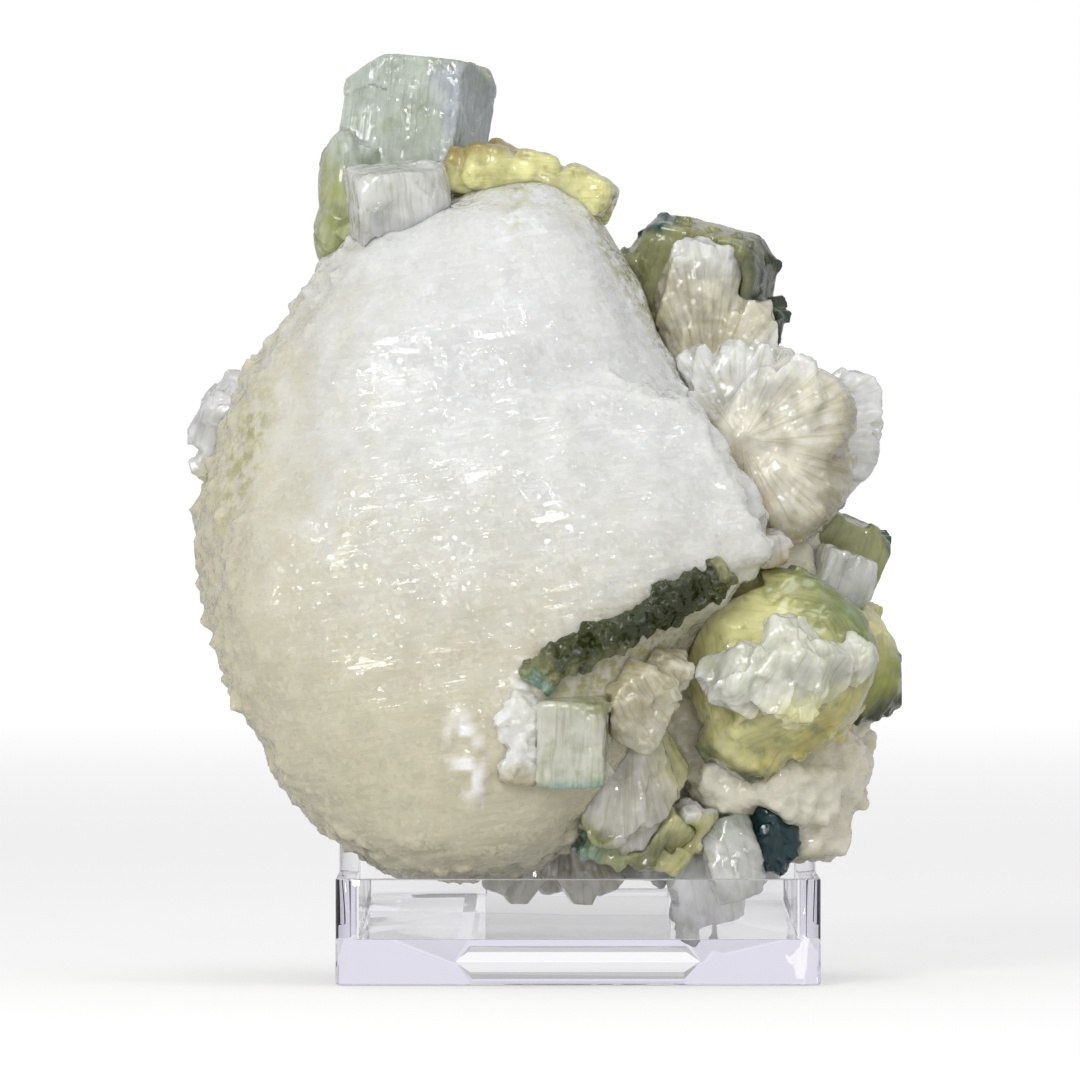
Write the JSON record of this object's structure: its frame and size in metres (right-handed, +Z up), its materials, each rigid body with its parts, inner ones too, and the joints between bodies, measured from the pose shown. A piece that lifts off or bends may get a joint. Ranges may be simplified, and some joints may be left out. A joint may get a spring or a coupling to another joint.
{
  "type": "mineral specimen",
  "caption": "Green apophyllite crystals on a rounded fan of white stilbite, a hand specimen resting in a clear tray stand.",
  "frame": {"origin": "centre of the stand's underside", "axes": "+X to the specimen's right as seen from its front, +Y towards its back, +Z up"},
  "size_m": [0.1043, 0.0633, 0.1348],
  "materials": {
    "acrylic": "clear, polished",
    "stilbite_white": "pearly, translucent white",
    "stilbite_cream": "drusy, translucent cream",
    "stilbite_clear": "glassy, cool white",
    "apophyllite_sage": "glassy, pale sage green",
    "apophyllite_yellow": "glassy, yellow-green",
    "apophyllite_green": "glassy, olive green",
    "apophyllite_teal": "glassy, dark teal",
    "moss_green": "dull, dark green crust"
  },
  "bodies": {
    "root": {"acrylic_stand": "acrylic", "stilbite_sheaf": "stilbite_white", "stilbite_matrix": "stilbite_cream", "apophyllite_front": "apophyllite_yellow", "stilbite_tuft_front": "stilbite_clear", "stilbite_rosette": "stilbite_white", "stilbite_upper_right": "stilbite_white", "apophyllite_upper_right": "apophyllite_green", "apophyllite_top": "apophyllite_sage", "stilbite_block_top": "stilbite_clear", "apophyllite_druse_top": "apophyllite_yellow", "stilbite_right_clear": "stilbite_clear", "apophyllite_right_upper": "apophyllite_green", "apophyllite_right_lower": "apophyllite_green", "stilbite_blades_right": "stilbite_clear", "apophyllite_square": "apophyllite_sage", "stilbite_white_middle": "stilbite_white", "stilbite_snow_left": "stilbite_white", "apophyllite_moss": "moss_green", "stilbite_fan_lower": "stilbite_clear", "apophyllite_rim_lower": "apophyllite_yellow", "stilbite_blocks_bottom": "stilbite_clear", "stilbite_blades_bottom": "stilbite_cream", "stilbite_oval": "stilbite_clear", "apophyllite_cubes_lower": "apophyllite_yellow", "apophyllite_teal": "apophyllite_teal", "stilbite_crystals_left": "stilbite_clear", "stilbite_crystals_middle": "stilbite_clear"}
  },
  "joints": []
}
